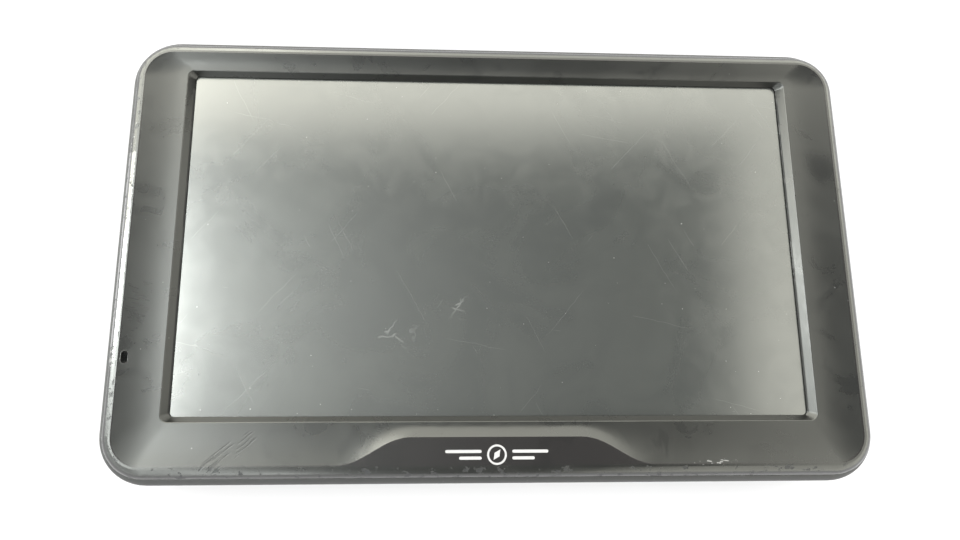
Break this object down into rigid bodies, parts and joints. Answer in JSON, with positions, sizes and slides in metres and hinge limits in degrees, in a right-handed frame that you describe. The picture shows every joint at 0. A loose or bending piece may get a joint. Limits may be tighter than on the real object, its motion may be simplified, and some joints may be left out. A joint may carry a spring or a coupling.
{
  "type": "portable gps navigator",
  "caption": "Flat rounded-rectangle car satellite navigator lying on its back, with a recessed touch screen, dished bezel, rear bracket receiver and a sprung power key.",
  "frame": {"origin": "centre of the case's outline on the plane of the flat back", "axes": "+X to the right of the screen, +Y to the top of the screen, +Z out of the screen; the navigator lies on its back"},
  "size_m": [0.188, 0.1124, 0.0206],
  "materials": {
    "bezel_plastic": "satin black soft-touch paint over moulded plastic, worn shiny along the left rim",
    "cover_plastic": "fine-textured black moulded plastic",
    "trim_plastic": "smooth black moulded plastic",
    "key_plastic": "polished dark grey plastic",
    "print_white": "white pad print",
    "label_paper": "dark grey rating label, left blank",
    "screw_steel": "zinc-plated steel",
    "foam_black": "closed-cell foam",
    "touch_film": "hazy anti-glare polyester film, scratched and dusty",
    "touch_glass": "clear float glass",
    "flex_amber": "amber polyimide",
    "panel_white": "white polycarbonate",
    "cell_dark": "dark liquid-crystal cell with polarisers",
    "guide_clear": "clear acrylic and white diffuser film",
    "lamp_yellow": "phosphor-coated lamps on white film",
    "sheet_steel": "tin-plated sheet steel",
    "board_green": "green solder mask over glass-fibre board",
    "chip_black": "black epoxy packages",
    "patch_ceramic": "tan unglazed ceramic",
    "silver_plating": "silver plating",
    "can_aluminium": "bare aluminium",
    "pouch_silver": "laminated aluminium pouch",
    "lead_insulation": "vinyl insulation",
    "dust_cloth": "fine black woven mesh",
    "basket_plastic": "black glass-filled plastic",
    "magnet_nickel": "nickel-plated neodymium",
    "cone_paper": "pressed black paper pulp",
    "surround_rubber": "soft butyl rubber",
    "coil_copper": "enamelled copper wire",
    "plunger_plastic": "red-brown switch plastic"
  },
  "bodies": {
    "case": {"front_bezel": "bezel_plastic", "rear_cover": "cover_plastic", "mount_receiver": "trim_plastic", "speaker_grille": "trim_plastic", "emblem": "print_white", "rear_label": "label_paper", "case_screws": "screw_steel", "chassis_screws": "screw_steel", "board_screws": "screw_steel", "card_spring": "screw_steel", "screen_gasket": "foam_black", "touch_tape": "foam_black", "battery_pad": "foam_black", "speaker_gasket": "foam_black", "touch_film": "touch_film", "touch_glass": "touch_glass", "touch_flex": "flex_amber", "panel_flex": "flex_amber", "panel_frame": "panel_white", "battery_plug": "panel_white", "battery_socket": "panel_white", "panel_cell": "cell_dark", "light_guide": "guide_clear", "optical_sheet": "guide_clear", "lamp_strip": "lamp_yellow", "back_plate": "sheet_steel", "chassis": "sheet_steel", "processor_shield": "sheet_steel", "receiver_shield": "sheet_steel", "usb_shell": "sheet_steel", "card_socket": "sheet_steel", "speaker_yoke": "sheet_steel", "speaker_pole_plate": "sheet_steel", "main_board": "board_green", "battery_guard": "board_green", "processor": "chip_black", "memory_chips": "chip_black", "receiver_chip": "chip_black", "flat_cable_sockets": "chip_black", "usb_tongue": "chip_black", "switch_body": "chip_black", "antenna_patch": "patch_ceramic", "antenna_plating": "silver_plating", "board_capacitors": "can_aluminium", "microphone": "can_aluminium", "battery_cell": "pouch_silver", "battery_leads": "lead_insulation", "speaker_leads": "lead_insulation", "mic_leads": "lead_insulation", "speaker_mesh": "dust_cloth", "speaker_frame": "basket_plastic", "speaker_magnet": "magnet_nickel", "speaker_surround": "surround_rubber", "mic_boot": "surround_rubber"},
    "power_key": {"power_key": "key_plastic"},
    "switch_plunger": {"switch_plunger": "plunger_plastic"},
    "speaker_cone": {"speaker_cone": "cone_paper", "voice_coil": "coil_copper"},
    "card_slider": {"card_slider": "panel_white"}
  },
  "joints": [
    {"name": "key_press", "type": "slide", "parent": "case", "child": "power_key", "axis": [0, -1, 0], "range_m": [0, 0.0004], "stiffness_N_per_m": 900, "springref_m": -0.001},
    {"name": "plunger_press", "type": "slide", "parent": "case", "child": "switch_plunger", "axis": [0, -1, 0], "range_m": [0, 0.0004]},
    {"name": "cone_stroke", "type": "slide", "parent": "case", "child": "speaker_cone", "axis": [0, 0, -1], "range_m": [-0.0004, 0.0004], "stiffness_N_per_m": 900, "deforming": ["speaker_surround"]},
    {"name": "card_eject", "type": "slide", "parent": "case", "child": "card_slider", "axis": [0, 1, 0], "range_m": [0, 0.0012], "stiffness_N_per_m": 250, "springref_m": -0.001, "deforming": ["card_spring"]}
  ],
  "couplings": [
    {"joint": "plunger_press", "follows": "key_press", "ratio": 1}
  ]
}
